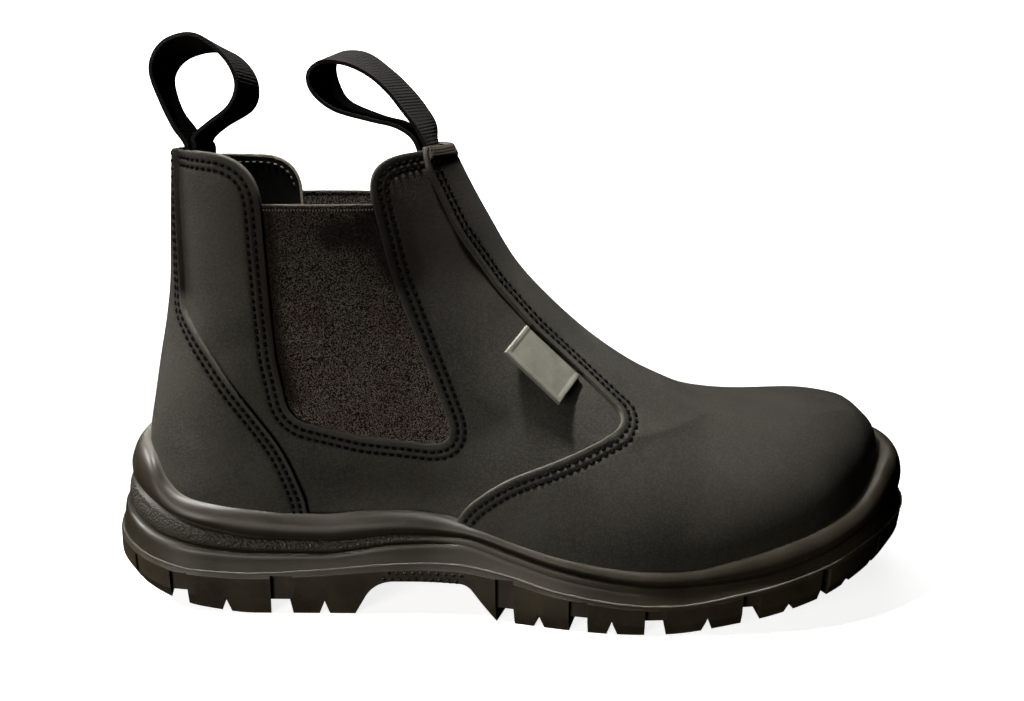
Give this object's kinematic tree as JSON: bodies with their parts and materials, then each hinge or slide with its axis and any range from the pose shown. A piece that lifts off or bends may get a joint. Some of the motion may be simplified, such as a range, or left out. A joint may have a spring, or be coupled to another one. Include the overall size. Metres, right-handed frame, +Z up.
{
  "type": "safety boot",
  "caption": "Pull-on ankle safety boot: hollow leather upper with elastic side panels, webbing pull loops and a lugged rubber sole with a raised rounded rim.",
  "frame": {"origin": "on the floor, under the middle of the sole's length and width", "axes": "+X from the heel to the toe, +Y towards the inner side of the foot, +Z up"},
  "size_m": [0.3038, 0.1115, 0.203],
  "materials": {
    "sole_rubber": "satin dark brown-black moulded sole",
    "leather": "matte charcoal nubuck",
    "elastic": "matte ribbed elastic cloth",
    "webbing": "matte ribbed webbing",
    "lining": "matte black textile",
    "tag": "satin olive-grey"
  },
  "bodies": {
    "root": {"outsole": "sole_rubber", "midsole": "sole_rubber", "insole": "lining", "upper": "leather", "vamp": "leather", "heel_counter": "leather", "gusset_lateral": "elastic", "gusset_medial": "elastic", "pull_loop_front": "webbing", "pull_loop_rear": "webbing", "side_tag": "tag"}
  },
  "joints": []
}
